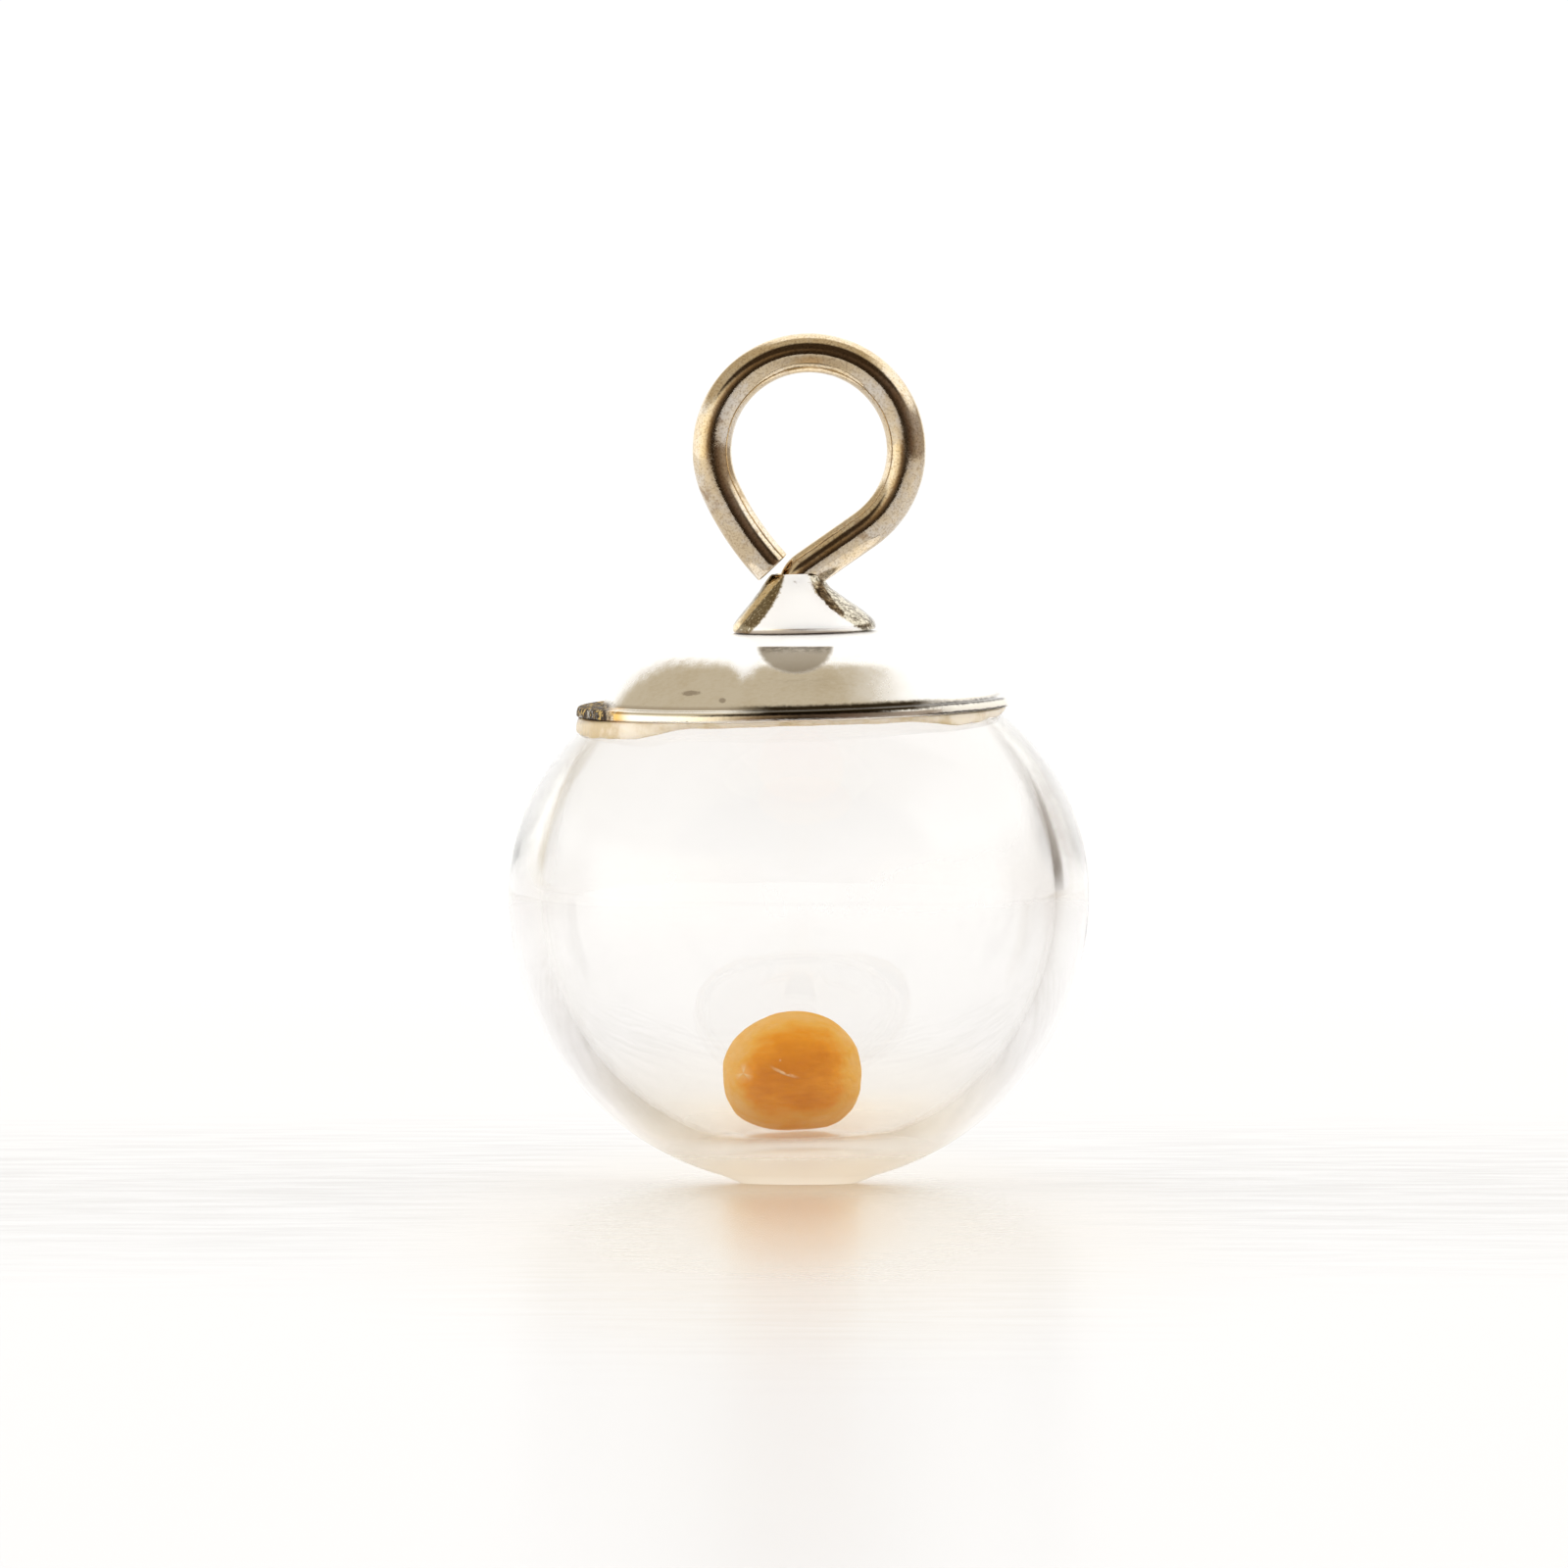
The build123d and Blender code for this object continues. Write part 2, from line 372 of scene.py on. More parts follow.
seed = bmesh.new()
bmesh.ops.create_icosphere(seed, subdivisions=7, radius=1)
for vert in seed.verts:
    way = vert.co.normalized()
    fullness = 2 + lower_fullness * min(1, max(0, (0.1 - way.z) / 0.4))
    size = (abs(way.x) ** fullness + way.yz.length**fullness) ** (-1 / fullness)
    wrinkle = noise.noise((way.x * 1.5, way.y * 5, way.z * 5))
    wrinkle += 0.5 * noise.noise((way.x * 4, way.y * 13, way.z * 13))
    size *= 1 + wrinkle_depth * wrinkle + lump_depth * noise.noise(way * 2.2)
    vert.co = (
        way.x * size * seed_length / 2 + top_shift * max(0, way.z) ** 2,
        way.y * size * seed_width / 2,
        way.z * size * seed_width / 2,
    )
    from_scar = Vector((vert.co.y, vert.co.z - scar_level)).length
    if way.x > 0:
        vert.co.x -= scar_depth * max(0, 1 - (from_scar / scar_radius) ** 2) ** 2

seed_coat, tree, place, x, y, z = new_finish("seed_coat")
along = x - seed_centre[0]
up = z - seed_centre[2]
mottle = noise_at(place, 1.6, 4.0, 0.6)
streaks = noise_at(place, 2.2, 4.0, 0.6, stretch=(0.35, 1, 1.6))
fine_streaks = noise_at(place, 6.0, 5.0, 0.6, stretch=(0.3, 1, 1))
# The coat is painted darker in the middle of its front and pale towards its outline, a painted rim light.
off_middle = (((along - 0.05) / 1.1) ** 2 + (up / 0.95) ** 2).math("SQRT")
painted_dark_middle = 1 - off_middle.over(0.5, 1.4)
depth_of_tone = painted_dark_middle * 0.8 + 0.1 + (mottle - 0.5) * 0.7 + (streaks - 0.5) * 0.7 + (fine_streaks - 0.5) * 0.3
coat_stops = [
    (0.0, (0.93, 0.57, 0.20)),
    (0.35, (0.90, 0.46, 0.075)),
    (0.7, (0.86, 0.32, 0.011)),
    (1.0, (0.72, 0.23, 0.004)),
]
coat = ramp(depth_of_tone, coat_stops)
pale_specks = specks_at(place, scale=2.6, size=0.10, share=0.16)
star_across = along + 0.98
star_up = up - 0.02
star_far = (star_across**2 + star_up**2).math("SQRT")
star_ray = (star_across.math("ARCTAN2", star_up) * 3).math("COSINE").over(0.2, 1)
star = (1 - star_far.over(0.02, 0.24)) * (star_ray * 0.7 + 0.3)
scratch_line = (up + along * 0.32 + 0.02 + (along + 0.1) ** 2 * -0.3).math("ABSOLUTE")
scratch = (1 - scratch_line.over(0.01, 0.05)) * along.near(-0.16, 0.36) * noise_at(place, 9).over(0.3, 0.5)
front_side = 1 - (y - seed_centre[1]).over(-0.6, -0.2)
marks = ((star + scratch) * front_side + pale_specks * 0.4).math("MINIMUM", 1.0)
coat = blend(coat, (0.98, 0.74, 0.42), marks * 0.75)
close_finish(
    tree,
    {
        "Base Color": coat,
        "Roughness": 0.42 + mottle * 0.2,
        "IOR": 1.45,
        "Specular IOR Level": 0.0,
        "Subsurface Weight": 0.1,
        "Subsurface Radius": (1.0, 0.4, 0.1),
        "Subsurface Scale": 0.0003,
        "Normal": bump(fine_streaks + streaks * 0.8 + mottle * 0.5 + marks * 0.4, 0.05, 0.8),
    },
)
seed_place = Matrix.Translation(seed_centre)
finish_piece(seed, "seed", seed_coat, "seed", "mustard_seed", place=seed_place)

# Cap: thin brass sheet stamped to a low dome with a narrow flange, whose edge is rolled over, then silver
# plated. It sits on the mouth, its dome a little off the middle. The plate has dulled, with brown smudges and
# specks, and a crust has grown at the left end of the flange. Its crown and right carry painted highlights,
# its shoulder a painted dark reflection, and the front of its rim painted highlights at the ends and a
# painted dark reflection between them.
sheet = 0.2
flange_level = 3.84
cap_radius = 4.49
dome_level = flange_level + sheet
dome_radius = 4.135
dome_shift = 0.16
seat_radius = 3.82
crown_radius = 3.35
crown_edge = 5.16
crown_level = 5.51
crown_rise = crown_level - crown_edge
crown_wall = 0.14
crown_round = 1.6
base_round = 0.03
peg_shift = 0.13
peg_hole = 0.425
hole_margin = 0.01
dome_margin = 0.1
rolled_rim = [
    # inset from the edge, drop from the top of the flange
    (0.080, 0.000),
    (0.055, 0.008),
    (0.035, 0.022),
    (0.015, 0.060),
    (0.002, 0.120),
    (0.000, 0.155),
    (0.000, 0.188),
    (0.012, 0.200),
]


def dome_wall(mesh, end, edge_radius, edge_level, base_radius, outward):
    """Draws a dome's section between the peg's hole and its base: crown, round shoulder, straight side."""
    arc_radius = (edge_radius**2 + crown_rise**2) / (2 * crown_rise)
    arc_level = edge_level + crown_rise - arc_radius
    side = Vector((base_radius - edge_radius, dome_level - edge_level))
    slope = atan2(-side.y, side.x)
    inward = Vector((-sin(slope), -cos(slope))) * crown_round
    start = Vector((edge_radius, edge_level)) + inward - Vector((0, arc_level))
    along = side.normalized()
    ahead = start.dot(along)
    middle = start - along * (ahead + sqrt(ahead**2 - start.length_squared + (arc_radius - crown_round) ** 2))
    shoulder_start = degrees(atan2(middle.x, middle.y))
    middle.y += arc_level
    hole_angle = degrees(asin(peg_hole / arc_radius))
    shoulder_turn = degrees(slope) - shoulder_start
    if outward:
        end = bend(mesh, end, 0, arc_level, hole_angle - shoulder_start, steps=22)
        end = bend(mesh, end, *middle, -shoulder_turn, steps=22)
        return reach(mesh, end, base_radius, dome_level)
    end = reach(mesh, end, middle.x + crown_round * sin(slope), middle.y + crown_round * cos(slope))
    end = bend(mesh, end, *middle, shoulder_turn, steps=22)
    return bend(mesh, end, 0, arc_level, shoulder_start - hole_angle, steps=22)


arc_radius = (crown_radius**2 + crown_rise**2) / (2 * crown_rise)
cap = bmesh.new()
first = cap.verts.new((peg_hole, 0, crown_level - arc_radius + sqrt(arc_radius**2 - peg_hole**2)))
end = dome_wall(cap, first, crown_radius, crown_edge, dome_radius, True)
for inset, drop in rolled_rim:
    end = reach(cap, end, cap_radius - inset, dome_level - drop)
end = reach(cap, end, seat_radius, flange_level)
end = reach(cap, end, seat_radius, dome_level)
end = dome_wall(cap, end, crown_radius - crown_wall, crown_edge - sheet, seat_radius, False)
cap.edges.new((end, first))
turn_round(cap, round_steps)
round_edges(cap, hoop(cap, dome_radius, dome_level), base_round, segments=4)
for vert in cap.verts:
    radius = vert.co.xy.length
    if radius < peg_hole + hole_margin:
        vert.co.x += peg_shift
    elif radius < dome_radius + dome_margin:
        vert.co.x += dome_shift


def silver(name, mark):
    """Silver plate with rub marks and cloudy tarnish, and with the colours, painted highlights and
    reflections, matte and crust of mark().
    """
    finish, tree, place, x, y, z = new_finish(name)
    cloud = noise_at(place, 0.7, 4.0, 0.6)
    rub = noise_at(place, 7.0, 6.0, 0.65, stretch=(1, 1, 2.5))
    dull = (cloud * 0.6 + rub * 0.4).over(0.42, 0.7)
    plate = blend((0.93, 0.91, 0.87), (0.84, 0.79, 0.70), dull)
    plate, matte, crusted = mark(plate, place, x, y, z)
    grains = noise_at(place, 9.0, 3.0)
    crust_tone = blend((0.045, 0.022, 0.007), (0.62, 0.42, 0.12), grains.over(0.52, 0.64))
    plate = blend(plate, crust_tone, crusted)
    relief = cloud * 0.5 + rub * 0.08
    close_finish(
        tree,
        {
            "Base Color": plate,
            "Metallic": 1 - crusted * 0.9 - matte * 0.75,
            "Roughness": 0.09 + dull * 0.07 + matte * 0.35 + crusted * 0.6,
            "Normal": bump(relief, 0.04, 0.5, bump(crusted * grains, 0.10, 1.0)),
        },
    )
    return finish


lean_axis = lean.to_3x3() @ Vector((0, 0, 1))
# The white of the painted highlights on the cap and the collar.
highlight_white = (0.98, 0.975, 0.965)


def cap_marks(plate, place, x, y, z):
    """Painted highlights on the crown and right, a painted dark reflection on the shoulder, painted
    highlights and a painted dark reflection on the rim, smudges and a crust.
    """
    # x is to the right, y to the back and z over the floor, while level runs along the charm's own axis.
    level = x * lean_axis.x + y * lean_axis.y + (z - globe_centre) * lean_axis.z
    rough = noise_at(place, 3.2, 4.0, 0.7)
    fine = noise_at(place, 9.0, 4.0, 0.7)
    front = 1 - y.over(-1.5, -1.0)
    on_dome = level.over(4.1, 4.2)
    # The crown and the right of the dome are painted white and made matte there, a painted highlight.
    edge = 10.82 - x.near(-1.115, 0.40) * 0.30
    edge = edge.math("MINIMUM", (x + 4.075) * 0.53 + 10.08)
    painted_crown_highlight = (z - edge + (fine - 0.5) * 0.22 + (rough - 0.5) * 0.3).over(-0.30, 0.16)
    painted_right_highlight = (x + (rough - 0.5) * 0.9).over(0.6, 2.7) * 0.9
    painted_highlight = painted_crown_highlight.math("MAXIMUM", painted_right_highlight) * on_dome
    # A dark half oval on the front of the crown, darkest along its top, is a painted reflection of the collar
    # and the eye.
    spot_up = 11.07 - z
    painted_reflection = ((x + 0.07) / 0.76) ** 2 + (spot_up / 0.57) ** 2 + (fine - 0.5) * 0.3
    painted_reflection = (1 - painted_reflection.over(0.8, 1.15)) * spot_up.over(0.0, 0.03) * front
    plate = blend(plate, highlight_white, painted_highlight * (1 - painted_reflection))
    plate = blend(plate, (0.27, 0.22, 0.15), painted_reflection * 0.9)
    painted_reflection_top = painted_reflection * (1 - spot_up.over(0.05, 0.2)) * fine.over(0.35, 0.6)
    plate = blend(plate, (0.09, 0.07, 0.04), painted_reflection_top * 0.8)
    wander = x + (rough - 0.5) * 0.6
    ragged = level + (fine - 0.5) * 0.07
    # The front of the rim is painted pale towards its left and right ends, a painted highlight.
    painted_rim_highlight = (wander.over(2.6, 3.3) + 1 - wander.over(-2.2, -1.4)) * (1 - level.over(3.98, 4.02)) * front
    plate = blend(plate, (0.98, 0.94, 0.84), painted_rim_highlight)
    thin_seam = level.near(4.085, 0.06) * 0.35
    plate = blend(plate, (0.18, 0.11, 0.05), thin_seam)
    # Between them the front of the rim is painted dark, a painted reflection of the dark room in front.
    painted_rim_reflection = wander.over(-1.7, -0.5) * (1 - wander.over(2.3, 3.2)) * front
    painted_rim_reflection = painted_rim_reflection * ragged.over(3.94, 3.99) * (1 - ragged.over(4.09, 4.17))
    plate = blend(plate, (0.04, 0.028, 0.014), painted_rim_reflection)
    rough_lines = ragged.near(4.035, 0.06) + ragged.near(3.86, 0.04)
    rough_lines = rough_lines * x.over(2.2, 3.0) * (rough + fine * 0.5).over(0.36, 0.52) * front
    plate = blend(plate, (0.03, 0.02, 0.015), rough_lines)
    smear = ((x + 2.21) / 0.22) ** 2 + ((z - 10.1) / 0.06) ** 2 + (fine - 0.5) * 2
    dot = ((x + 1.56) / 0.08) ** 2 + ((z - 9.95) / 0.06) ** 2 + (fine - 0.5)
    smudges = ((2 - smear.over(0.3, 1.2) - dot.over(0.3, 1.2)) * front * 0.5).math("MINIMUM", 1.0)
    specks = specks_at(place, scale=1.3, size=0.05, share=0.10)
    plate = blend(plate, (0.16, 0.10, 0.06), smudges + specks * 0.5)
    golden = x.near(-3.74, 0.34) * (1 - level.over(4.02, 4.1)) * front
    plate = blend(plate, (0.80, 0.47, 0.09), golden * rough.over(0.3, 0.5) * 0.9)
    left_end = 1 - (x + (fine - 0.5) * 0.5).over(-4.0, -3.78)
    crusted = left_end * (rough * 0.6 + fine * 0.4).over(0.34, 0.46) * (1 - level.over(4.05, 4.2))
    matte = (painted_highlight * (1 - painted_reflection) + painted_reflection * 0.7).math("MAXIMUM", painted_rim_highlight * x.over(0, 1))
    return plate, matte, crusted


silver_cap = silver("silver_cap", cap_marks)
finish_piece(cap, "cap_dome", silver_cap, "charm", "cap")

# Collar: a small plated cone, flared at its foot like a bell, which fills the room between the cap and the
# eye. It is pressed on round the wire, so its hub shows a thin lip there.
collar_level = 5.54
collar_height = 1.12
collar_radius = 1.48
hub_radius = 0.55
hub_lip = 0.04
wire_room = 0.425
flare_skew = 0.13
collar_steps = [
    # height, flare, skew, as shares of the collar's height, of its flare beyond the hub, and of the skew
    (-0.055, 0.92, 1.0),
    (-0.05, 0.98, 1.0),
    (-0.02, 1.00, 1.0),
    (0.03, 1.00, 1.0),
    (0.08, 0.985, 1.0),
    (0.16, 0.92, 0.96),
    (0.27, 0.79, 0.8),
    (0.38, 0.65, 0.6),
    (0.50, 0.48, 0.3),
    (0.62, 0.33, 0.0),
    (0.71, 0.21, -0.2),
    (0.80, 0.13, -0.3),
    (0.90, 0.05, -0.2),
    (0.97, 0.01, 0.0),
    (1.00, -0.04, 0.0),
]
collar_sides = 96


def next_ring(mesh, ring, place, radius):
    """Grows a ring of edges into the next one, round a place on the charm's axis. Returns the new ring."""
    new_ring, verts = grow_ring(mesh, ring)
    middle = sum((vert.co for vert in verts), Vector()) / len(verts)
    for vert in verts:
        vert.co = Vector(place) + (vert.co - middle).normalized() * radius
    return new_ring


collar = bmesh.new()
bmesh.ops.create_circle(
    collar,
    segments=collar_sides,
    radius=wire_room,
    matrix=Matrix.Translation((peg_shift, 0, collar_level)),
)
ring = collar.edges[:]
for height, flare, skew in collar_steps:
    across = peg_shift + skew * flare_skew
    radius = hub_radius + flare * (collar_radius - hub_radius)
    ring = next_ring(collar, ring, (across, 0, collar_level + height * collar_height), radius)
top_level = collar_level + collar_height
ring = next_ring(collar, ring, (peg_shift, 0, top_level), wire_room + hub_lip)
ring = next_ring(collar, ring, (peg_shift, 0, top_level - hub_lip), wire_room)
next_ring(collar, ring, (peg_shift, 0, collar_level), wire_room)
bmesh.ops.remove_doubles(collar, verts=collar.verts[:], dist=0.0005)
bmesh.ops.recalc_face_normals(collar, faces=collar.faces[:])


def collar_marks(plate, place, x, y, z):
    """A white painted highlight on the face, between a left flank of painted dark reflection with a painted
    golden highlight stripe, and a right flank of streaked painted reflection. No crust.
    """
    rough = noise_at(place, 4.0, 4.0, 0.7)
    fine = noise_at(place, 12.0, 4.0, 0.7)
    down = 12.3 - z
    jitter = (fine - 0.5) * 0.30
    left_edge = -0.38 - down * 0.35 - down**2 * 0.35
    right_edge = 0.30 + down * 0.55 + down**2 * 0.65
    # The collar's face is painted white and made matte, a painted highlight.
    painted_highlight = (x - left_edge + jitter).over(-0.02, 0.05) * (right_edge - x + jitter).over(-0.02, 0.05)
    painted_highlight = painted_highlight * z.over(11.40, 11.46)
    plate = blend(plate, highlight_white, painted_highlight)
    # Its flanks are painted reflections: dark at the left with a painted golden highlight stripe, streaked at
    # the right.
    painted_left_reflection = 1 - (x - left_edge).over(-0.02, 0.05)
    painted_golden_highlight = (x + 0.60 + down * 0.858).near(0.0, 0.14)
    painted_golden_highlight = (painted_golden_highlight + (rough - 0.5) * 0.6 + (fine - 0.5) * 0.5).over(0.2, 0.7)
    plate = blend(plate, blend((0.24, 0.19, 0.11), (0.88, 0.70, 0.42), painted_golden_highlight), painted_left_reflection)
    painted_right_reflection = (x - right_edge).over(-0.02, 0.05)
    lines = noise_at(place, 7.0, 5.0, 0.7, stretch=(0.7, 1, 1.5), distortion=0.4).over(0.42, 0.58)
    plate = blend(plate, blend((0.62, 0.57, 0.46), (0.16, 0.13, 0.09), lines), painted_right_reflection)
    flecks = noise_at(place, 18.0, 3.0, 0.7)
    flanks = painted_left_reflection + painted_right_reflection
    plate = blend(plate, (0.96, 0.90, 0.76), flanks * flecks.over(0.56, 0.64) * 0.7)
    plate = blend(plate, (0.12, 0.08, 0.04), flanks * (1 - flecks.over(0.36, 0.44)) * 0.6)
    hub = z.near(12.38, 0.12) * rough.over(0.55, 0.7)
    base_line = 1 - z.over(11.38, 11.42)
    plate = blend(plate, (0.22, 0.13, 0.06), (hub * 0.7 + base_line * 0.6).math("MINIMUM", 1.0))
    return plate, painted_highlight, 0.0


silver_collar = silver("silver_collar", collar_marks)
finish_piece(collar, "collar_bell", silver_collar, "charm", "collar")

# Eye: one 0.81 mm wire, cut, bent round a pin to a ring of 3.2 mm, and bent again to a peg. The peg goes down
# through the collar and the cap and is flattened to a head inside. The plate is worn warm over the brass.
wire_radius = 0.405
eye_across = 0.455
eye_level = 9.20
eye_radius = 2.005
leg_slope = 33.5
neck_bend = 0.5
tail_start = 203.5
tail_radius = 6.0
tail_turn = 18.2975
head_level = 4.95
head_thickness = 0.3
head_radius = 0.8
cut_round = 0.03
wire_sides = 48
leg_steps = 8


def sweep_bend(mesh, ring, across, level, turn, steps):
    """Carries a ring of edges round an arc whose middle is at (across, level). Returns the new ring."""
    made = bmesh.ops.spin(
        mesh, geom=ring, cent=(across, 0, level), axis=(0, -1, 0), angle=radians(turn), steps=steps
    )
    return edges_of(made["geom_last"])


def sweep_straight(mesh, ring, across, level):
    """Carries a ring of edges straight by (across, level). Returns the new ring."""
    new_ring, verts = grow_ring(mesh, ring)
    bmesh.ops.translate(mesh, verts=verts, vec=(across, 0, level))
    return new_ring


leg_foot = (
    eye_across + eye_radius * sin(radians(leg_slope)),
    eye_level - eye_radius * cos(radians(leg_slope)),
)
leg_run = (leg_foot[0] - peg_shift) / cos(radians(leg_slope))
neck_level = leg_foot[1] - leg_run * sin(radians(leg_slope))
neck_turn = 90 - leg_slope
neck_cut = neck_bend * sin(radians(neck_turn)) / (1 + cos(radians(neck_turn)))
leg_step = (leg_run - neck_cut) / leg_steps

eye = bmesh.new()
bmesh.ops.create_circle(
    eye,
    segments=wire_sides,
    radius=head_radius,
    cap_ends=True,
    matrix=Matrix.Translation((peg_shift, 0, head_level)),
)
ring = eye.edges[:]
ring = sweep_straight(eye, ring, 0, head_thickness)
ring = next_ring(eye, ring, (peg_shift, 0, head_level + head_thickness), wire_radius)
ring = sweep_straight(eye, ring, 0, neck_level - neck_cut - head_level - head_thickness)
ring = sweep_bend(eye, ring, peg_shift + neck_bend, neck_level - neck_cut, -neck_turn, steps=10)
for step in range(leg_steps):
    ring = sweep_straight(eye, ring, leg_step * cos(radians(leg_slope)), leg_step * sin(radians(leg_slope)))
ring = sweep_bend(eye, ring, eye_across, eye_level, tail_start + 90 - leg_slope, steps=130)
tail_across = eye_across + (eye_radius - tail_radius) * cos(radians(tail_start))
tail_level = eye_level + (eye_radius - tail_radius) * sin(radians(tail_start))
ring = sweep_bend(eye, ring, tail_across, tail_level, tail_turn, steps=16)
bmesh.ops.edgeloop_fill(eye, edges=ring)
bmesh.ops.recalc_face_normals(eye, faces=eye.faces[:])
round_edges(eye, ring, cut_round)

worn_wire, tree, place, *_ = new_finish("worn_wire")
cloud = noise_at(place, 0.9, 4.0, 0.6)
grain = noise_at(place, 8.0, 6.0, 0.7)
brassy = (cloud * 0.6 + grain * 0.3 + 0.1).over(0.4, 0.62)
wire_tint = blend((0.80, 0.74, 0.655), (0.76, 0.62, 0.42), brassy)
stain = noise_at(place, 2.0, 4.0, 0.6, shift=(5, 2, 1)).over(0.58, 0.72)
wire_tint = blend(wire_tint, (0.34, 0.20, 0.09), stain * 0.6)
pits = noise_at(place, 22.0, 3.0, 0.6)
wire_tint = blend(wire_tint, (0.34, 0.24, 0.14), pits.over(0.48, 0.64) * 0.5)
close_finish(
    tree,
    {
        "Base Color": wire_tint,
        "Metallic": 1.0,
        "Roughness": 0.05 + grain * 0.07 + stain * 0.1,
        "Normal": bump(cloud + grain * 0.2, 0.015, 0.3, bump(pits, 0.0015, 0.5)),
    },
)
finish_piece(eye, "wire_eye", worn_wire, "charm", "eye_loop")

# Glue: clear resin run between the flange and the glass, which pressed out as a thin bead and set. It has
# yellowed to cream, and left a long drop at the left and a shorter one at the right.
glue_top = 3.81
glue_drop = 0.375
thin_glue_share = 0.4
full_glue_share = 0.05
glass_gap = 0.03
outside_bulge = 0.1
toe_reach = 0.05
toe_rise = 0.01
flange_overhang = cap_radius - mouth_radius
glue_rows = [
    # bearing from the front towards the left, depth as a share of the largest drop
    (-180, 0.34),
    (-150, 0.40),
    (-120, 0.32),
    (-95, 0.34),
    (-72, 0.50),
    (-50, 0.68),
    (-34, 0.36),
    (0, 0.32),
    (28, 0.38),
    (48, 0.92),
    (64, 1.00),
    (84, 0.90),
    (106, 0.60),
    (130, 0.36),
    (155, 0.42),
    (180, 0.34),
]
lumpiness = 0.10
glue_sides = 16
glue_steps = 240
middle_radius = mouth_radius + 0.2


def glue_share(bearing):
    """Depth of the bead at a bearing, eased between the two rows round it."""
    after = next(row for row in glue_rows[1:] if bearing <= row[0])
    before = glue_rows[glue_rows.index(after) - 1]
    along = (bearing - before[0]) / (after[0] - before[0])
    return before[1] + (after[1] - before[1]) * (1 - cos(pi * along)) / 2


def glass_at(level):
    """Radius at which the bead meets the glass at a level."""
    return shoulder_middle + sqrt((globe_radius - shoulder_middle) ** 2 - level**2) + glass_gap


def glue_point(share, around):
    """A point of the bead's section: across the top, down the bulging outside, and back up the glass."""
    bottom = flange_level - share * glue_drop
    free = thin_glue_share + (full_glue_share - thin_glue_share) * share
    lip = cap_radius - free * flange_overhang
    corners = [
        Vector((glass_at(glue_top), glue_top)),
        Vector((lip, glue_top)),
        Vector((max(lip, glass_at(bottom)) + outside_bulge * share * glue_drop, (glue_top * 2 + bottom) / 3)),
        Vector((glass_at(bottom) + toe_reach, bottom - toe_rise)),
        Vector((glass_at(bottom), bottom)),
    ]
    if around < 0.25:
        return corners[0].lerp(corners[1], around * 4)
    if around < 0.75:
        along = (around - 0.25) * 2
        first = corners[1].lerp(corners[2], along)
        middle = corners[2].lerp(corners[3], along)
        last = corners[3].lerp(corners[4], along)
        return first.lerp(middle, along).lerp(middle.lerp(last, along), along)
    along = (around - 0.75) * 4
    level = bottom + (glue_top - bottom) * along
    return Vector((glass_at(level), level))


glue = bmesh.new()
bmesh.ops.create_circle(
    glue,
    segments=glue_sides,
    radius=0.1,
    matrix=Matrix.Translation((middle_radius, 0, glue_top)) @ Matrix.Rotation(pi / 2, 4, "X"),
)
turn_round(glue, glue_steps)
for vert in glue.verts:
    outward = vert.co.xy.normalized()
    bearing = degrees(atan2(-outward.x, -outward.y))
    around = atan2(vert.co.z - glue_top, vert.co.xy.length - middle_radius) / (2 * pi)
    share = glue_share(bearing) * (1 + lumpiness * noise.noise((outward.x * 9, outward.y * 9, 0)))
    point = glue_point(share, (0.375 - around) % 1)
    vert.co = (outward.x * point.x, outward.y * point.x, point.y)
bmesh.ops.recalc_face_normals(glue, faces=glue.faces[:])

cream_glue, tree, place, x, y, z = new_finish("cream_glue")
cloud = noise_at(place, 1.4, 4.0, 0.6)
yellowed = (cloud + (1 - x.over(-4.4, -3.2)) * 0.3).over(0.42, 0.75)
resin = blend((0.90, 0.79, 0.64), (0.62, 0.48, 0.27), yellowed)
brown = (1 - x.over(-4.2, -3.9)) * noise_at(place, 3.2, 4.0, 0.7).over(0.33, 0.45) * z.over(9.45, 9.6)
resin = blend(resin, (0.18, 0.09, 0.03), brown * 0.8)
close_finish(
    tree,
    {
        "Base Color": resin,
        "Roughness": 0.18 + cloud * 0.15,
        "IOR": 1.5,
        "Subsurface Weight": 0.3,
        "Subsurface Radius": (1.0, 0.8, 0.5),
        "Subsurface Scale": 0.0003,
        "Normal": bump(noise_at(place, 2.5, 3.0), 0.06, 0.6),
    },
)
finish_piece(glue, "glue_run", cream_glue, "charm", "glue_bead", crease=180)

# The set: glossy white paper that fades to bright white behind the charm. Light comes from the white behind,
# the left and above, the room behind the camera is dark and warm, and a grey wall stands at the right. The
# paper is narrow and short in front, so the wire mirrors the dark room there. Its sizes are in metres.
paper_size = 40.0
paper_drop = 0.00001
paper_reach = 0.119
paper_front = 0.11
paper = bmesh.new()
bmesh.ops.create_grid(
    paper, x_segments=1, y_segments=1, size=paper_size / 2, matrix=Matrix.Translation((0, 0, -paper_drop))
)
for vert in paper.verts:
    if vert.co.y < 0:
        vert.co.x *= paper_front / paper_size
        vert.co.y = -paper_reach

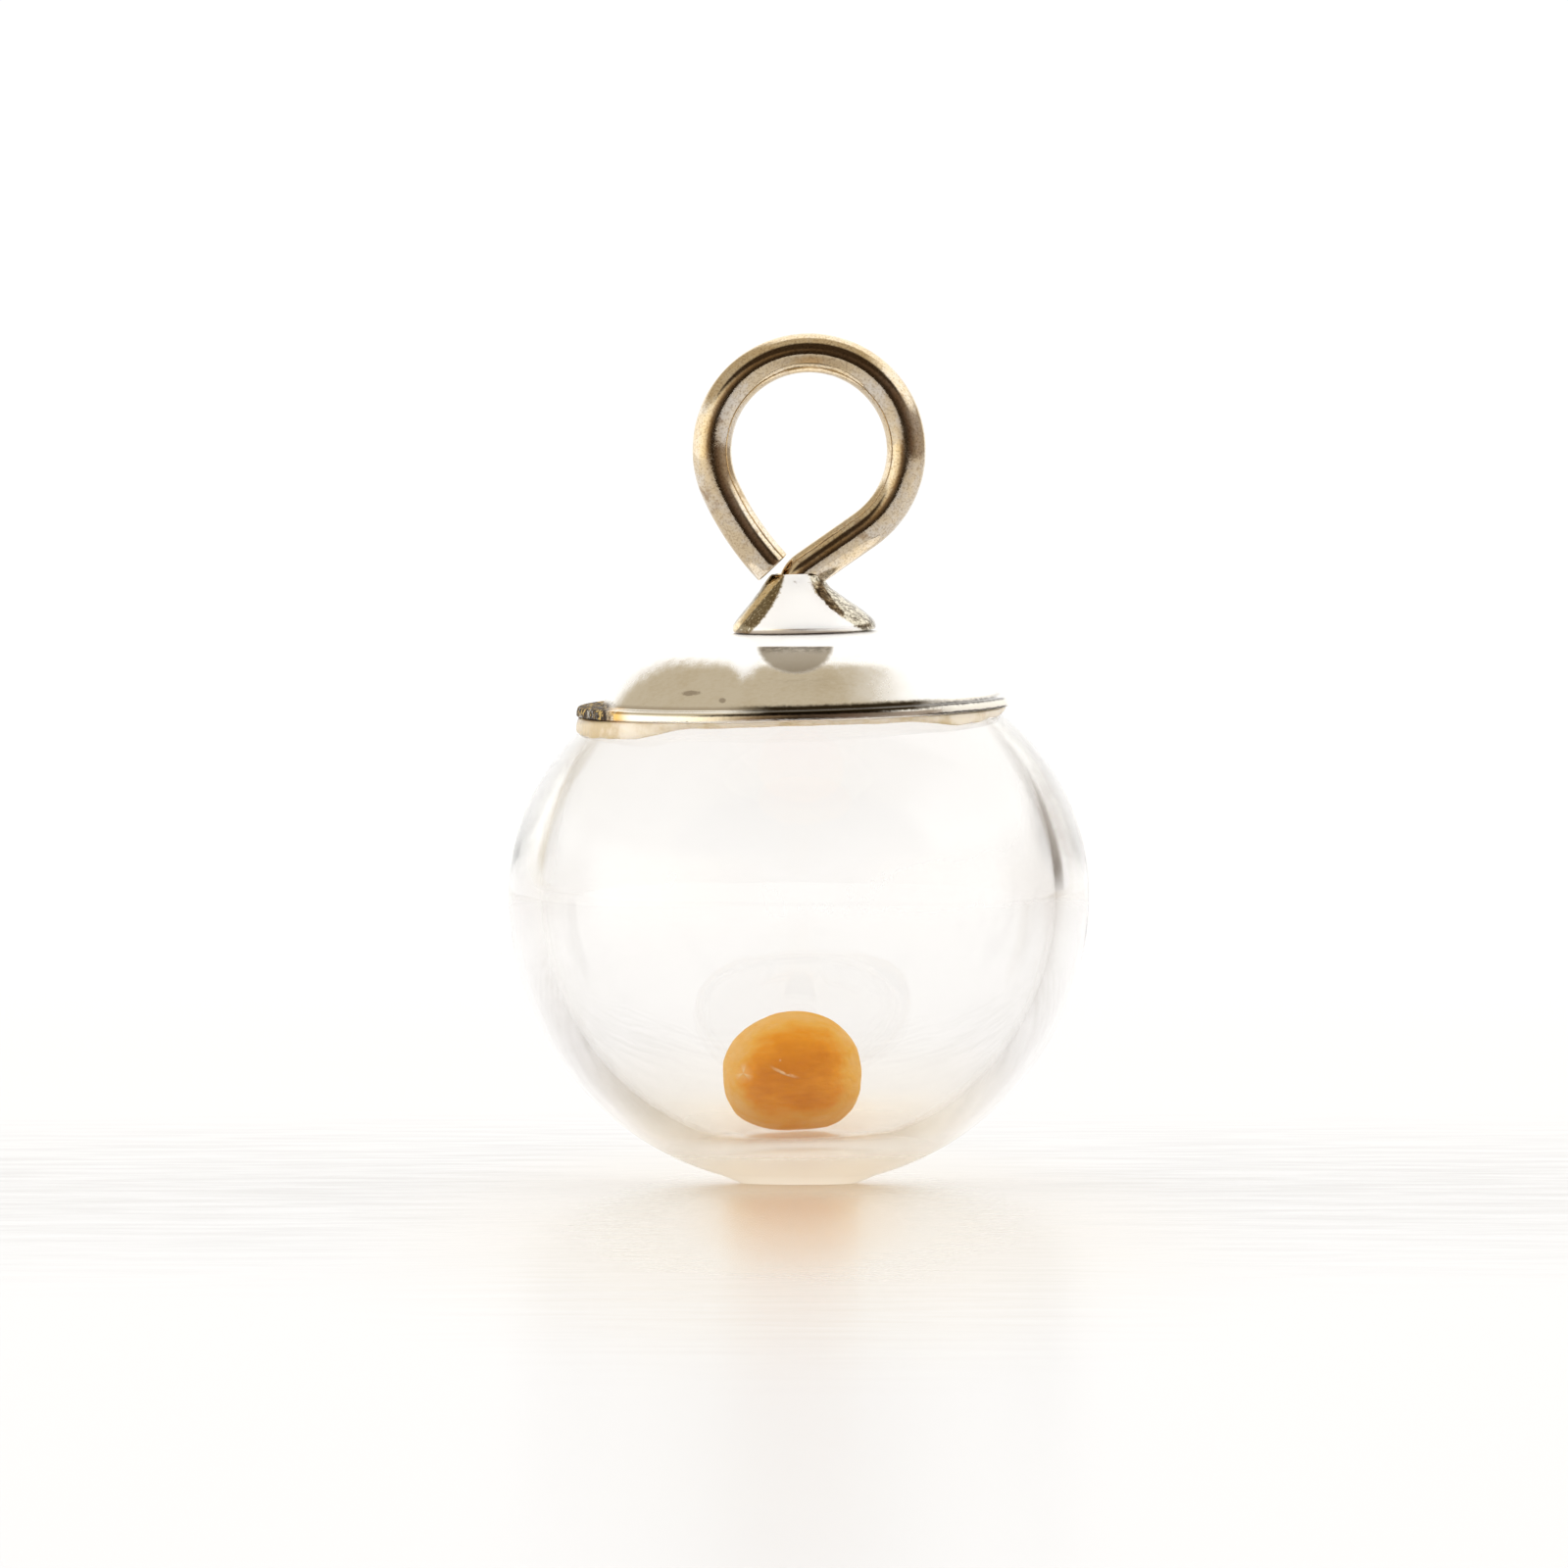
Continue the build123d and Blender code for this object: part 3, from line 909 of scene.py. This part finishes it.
white_paper, tree, place, x, y, z = new_finish("white_paper")
grain = noise_at(place, 0.55, 4.0, 0.6, stretch=(0.45, 1, 1))
fine_grain = noise_at(place, 2.2, 3.0, 0.55, stretch=(0.8, 1, 1), shift=(4, 7, 0))
away = (x**2 + y**2).math("SQRT")
near_charm = 1 - away.over(12, 60)
far_off = away.over(80, 600)
wrinkles = grain * 0.5 + fine_grain * 0.5
paper_tone = blend((0.62, 0.61, 0.605), (0.50, 0.485, 0.47), grain.over(0.3, 0.7) * near_charm)
shade = 1 - ((x / 9) ** 2 + ((y + 20) / 62) ** 2 + (grain - 0.5) * 0.4).math("SQRT").over(0.25, 1.05)
glow_pool = 1 - ((x / 2.4) ** 2 + ((y + 14) / 32) ** 2).over(0.0, 1.1)
paper_tone = blend(paper_tone, (0.74, 0.69, 0.61), shade)
paper_tone = blend(paper_tone, (0.74, 0.60, 0.43), glow_pool)
paper_tone = blend(paper_tone, (1.0, 1.0, 1.0), far_off)
close_finish(
    tree,
    {
        "Base Color": paper_tone,
        "Metallic": (shade * 0.5).math("MAXIMUM", far_off),
        "Roughness": 0.25,
        "IOR": 1.5,
        "Specular Tint": (0.87, 0.86, 0.855),
        "Normal": bump(wrinkles * near_charm * (1 - y.over(2, 16)), 0.10, 0.6),
    },
)
new_object(paper, "paper_floor", white_paper)

dark_room = (0.035, 0.022, 0.012)
white_behind = (1.17, 1.165, 1.155)
left_stops = [
    # share of the turn from behind the camera to behind the charm, colour of the light
    (0.0, dark_room),
    (0.05, (0.30, 0.20, 0.11)),
    (0.12, (0.95, 0.80, 0.56)),
    (0.25, (1.4, 1.3, 1.05)),
    (0.5, (1.4, 1.38, 1.3)),
    (0.85, (1.3, 1.28, 1.22)),
    (0.97, white_behind),
]
right_stops = [
    (0.0, dark_room),
    (0.036, (0.10, 0.065, 0.042)),
    (0.08, (0.15, 0.10, 0.07)),
    (0.17, (0.24, 0.19, 0.145)),
    (0.29, (0.39, 0.32, 0.265)),
    (0.6, (0.43, 0.365, 0.30)),
    (0.83, (0.49, 0.42, 0.34)),
    (0.9, (1.2, 1.19, 1.15)),
    (0.97, white_behind),
]
sky = bpy.data.worlds.new("studio")
bpy.context.scene.world = sky
sky.use_nodes = True
tree = sky.node_tree
tree.nodes.clear()
way = add_node(tree, "ShaderNodeTexCoord", {}, {}, output="Generated")
to_right, to_back, to_top = three_parts(way)
mirrored = add_node(tree, "ShaderNodeLightPath", {}, {}, output="Is Glossy Ray")
through = Signal(tree, mirrored.socket.node.outputs["Is Transmission Ray"])
seen = Signal(tree, mirrored.socket.node.outputs["Is Camera Ray"])
turn_to_back = to_back * 0.5 + 0.5
low_room = blend(
    ramp(turn_to_back, left_stops), ramp(turn_to_back, right_stops), to_right.over(-0.12, 0.12)
)
from_behind = to_back.over(0.02, 0.25) * to_right.over(-0.42, -0.2)
bright_above = from_behind.math("MAXIMUM", to_right.over(0.5, 0.75))
high_room = blend((0.57, 0.49, 0.36), (1.4, 1.38, 1.32), bright_above)
high_room = blend((0.05, 0.032, 0.018), high_room, to_back.over(-0.6, -0.4))
room = blend(low_room, high_room, to_top.over(0.25, 0.45))
soft_white = blend((1.15, 1.14, 1.13), (1.75, 1.74, 1.73), to_back.over(-1, 1))
aside = to_right.math("ABSOLUTE")
through_glass = blend((1.19, 1.185, 1.175), (1.1, 1.09, 1.08), aside.over(0.15, 0.4))
through_glass = blend(room, through_glass, 0.9)
# Dark cards at both sides, which only the glass shows, draw the inner line of its wall.
side_cards = aside.over(0.57, 0.65) * (1 - aside.over(0.70, 0.76)) * to_back.over(0, 0.2)
side_cards = side_cards * to_top.over(-0.02, 0.03) * (1 - to_top.over(0.2, 0.3))
card_tone = blend((0.62, 0.54, 0.40), (0.24, 0.21, 0.18), to_right.over(-0.1, 0.1))
through_glass = blend(through_glass, card_tone, side_cards)
# Dull surfaces are lit by soft white, metal mirrors the room, and the camera sees plain white behind all.
light = blend(soft_white, room, mirrored)
light = blend(light, through_glass, through)
light = blend(light, (1.05, 1.05, 1.05), seen)
glow = add_node(tree, "ShaderNodeBackground", {}, {"Color": light, "Strength": 1.0})
add_node(tree, "ShaderNodeOutputWorld", {}, {0: glow})
sky.cycles.sampling_method = "NONE"

view_side = -0.000304
view_distance = 0.237
view_height = 0.00825
camera_data = bpy.data.cameras.new("camera")
camera_data.lens = 263.1
camera_data.sensor_width = 36
camera_data.clip_start = 0.01
camera_data.clip_end = 100
camera = bpy.data.objects.new("camera", camera_data)
camera.location = (view_side, -view_distance, view_height)
camera.rotation_euler = (pi / 2, 0, 0)
bpy.context.scene.collection.objects.link(camera)
bpy.context.scene.camera = camera

glass_bounces = 64
scene = bpy.context.scene
scene.view_settings.view_transform = "Standard"
scene.cycles.use_denoising = True
scene.cycles.max_bounces = glass_bounces
scene.cycles.transmission_bounces = glass_bounces
scene.cycles.glossy_bounces = glass_bounces
scene.cycles.diffuse_bounces = 4
scene.cycles.blur_glossy = 0.0
